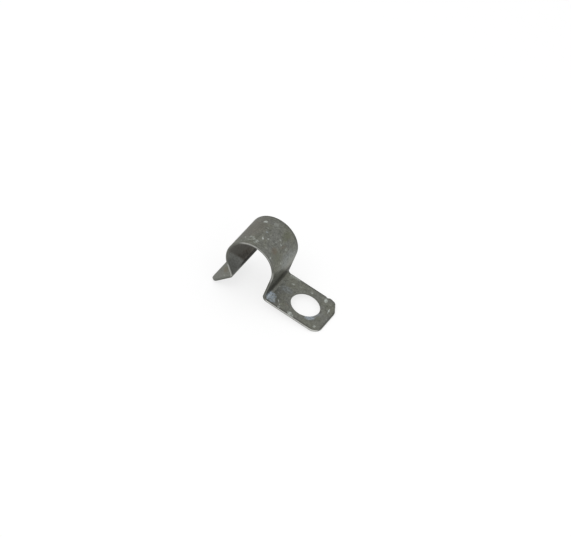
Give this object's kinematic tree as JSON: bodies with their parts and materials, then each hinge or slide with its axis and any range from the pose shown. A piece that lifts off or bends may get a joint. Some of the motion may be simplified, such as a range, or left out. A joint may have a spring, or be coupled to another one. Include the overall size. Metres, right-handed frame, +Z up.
{
  "type": "hose clip",
  "caption": "Open hose clip bent from one steel strip: a flat tab with a screw hole, an arch that grips the hose and a flared lead-in lip.",
  "frame": {"origin": "centre of the screw hole on the tab's underside", "axes": "+X from the arch towards the tab's free end, +Y along the hose, +Z up from the tab towards the arch"},
  "size_m": [0.0263, 0.0106, 0.0168],
  "materials": {
    "plated_steel": "dull grey plated steel, dry and lightly scuffed, with bright sheared edges"
  },
  "bodies": {
    "root": {"clip_strip": "plated_steel"}
  },
  "joints": []
}
